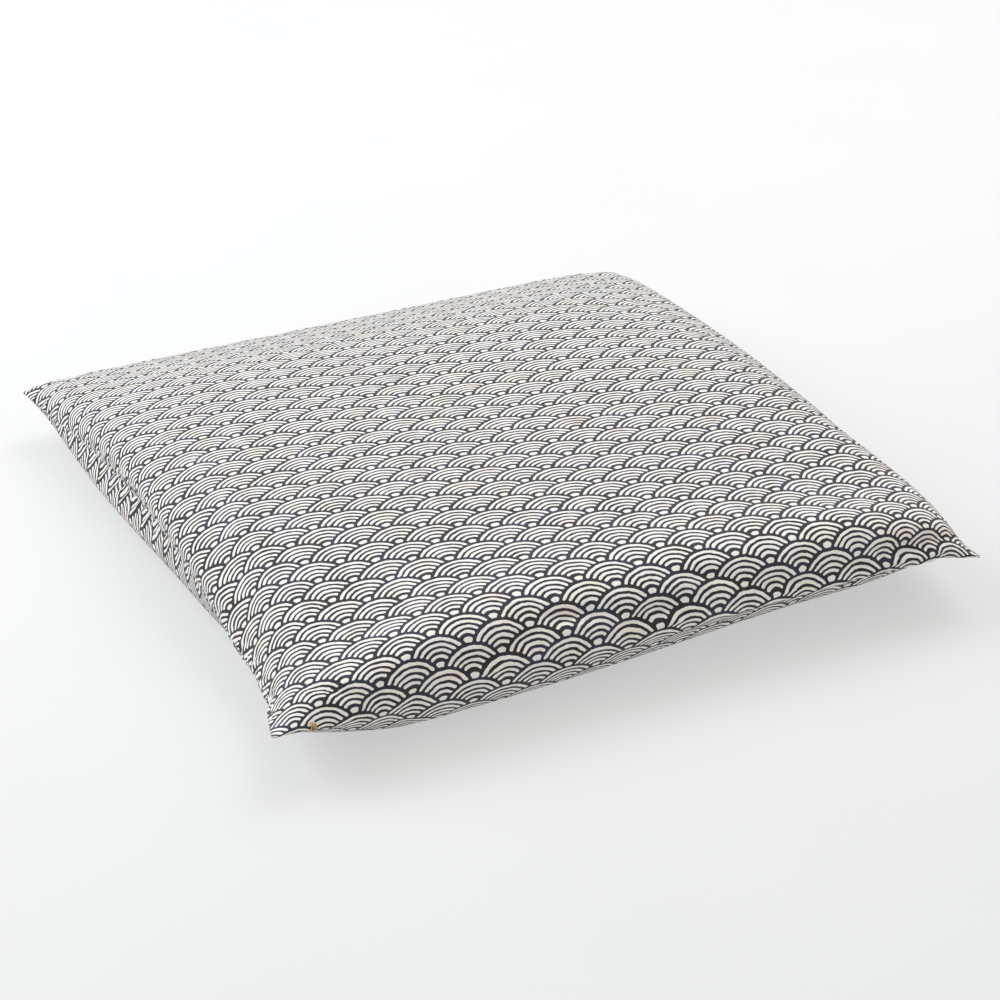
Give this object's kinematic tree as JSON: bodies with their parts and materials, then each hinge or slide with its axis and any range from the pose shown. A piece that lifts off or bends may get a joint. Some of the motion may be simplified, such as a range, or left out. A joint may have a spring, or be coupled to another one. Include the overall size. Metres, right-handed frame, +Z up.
{
  "type": "floor cushion",
  "caption": "Square floor cushion: printed cotton cover folded at the front and zipped at the back, around a wadding pad in its own casing.",
  "frame": {"origin": "middle of the cushion's footprint, on the floor it rests on", "axes": "+Z up, +X along the front fold, +Y from the folded front edge to the zipped back edge"},
  "size_m": [0.5414, 0.582, 0.086],
  "materials": {
    "printed_cotton": "plain-weave cotton printed in navy and cream wave scales",
    "plain_cotton": "unbleached thin cotton",
    "cotton_wadding": "soft matted cotton fibre",
    "sewing_thread": "matt navy spun thread",
    "white_thread": "matt white cotton thread",
    "tan_thread": "matt tan thread",
    "zip_tape": "woven twill tape",
    "zip_coil": "satin moulded coil",
    "zip_metal": "enamelled zinc, semi-gloss, worn at the edges"
  },
  "bodies": {
    "cushion": {"cover_cloth": "printed_cotton", "left_seam_stitching": "sewing_thread", "right_seam_stitching": "sewing_thread", "corner_tack": "tan_thread", "zip_tape_upper": "zip_tape", "zip_tape_lower": "zip_tape", "zip_coil_upper": "zip_coil", "zip_coil_lower": "zip_coil", "zip_stitching_upper": "sewing_thread", "zip_stitching_lower": "sewing_thread", "zip_top_stops": "zip_metal", "zip_bottom_stop": "zip_metal", "pad_casing": "plain_cotton", "pad_closing_stitches": "white_thread", "wadding_core": "cotton_wadding", "wadding_upper_layer": "cotton_wadding", "wadding_lower_layer": "cotton_wadding"},
    "slider": {"zip_slider": "zip_metal"},
    "pull": {"zip_pull": "zip_metal"}
  },
  "joints": [
    {"name": "zip_slide", "type": "slide", "parent": "cushion", "child": "slider", "axis": [-1, 0, 0], "range_m": [0, 0.42], "deforming": ["zip_coil_upper", "zip_coil_lower", "zip_tape_upper", "zip_tape_lower"]},
    {"name": "pull_flip", "type": "hinge", "parent": "slider", "child": "pull", "pos_m": [0.212, 0.28935, 0.036], "axis": [0, 0, -1], "range_deg": [0, 170]}
  ]
}
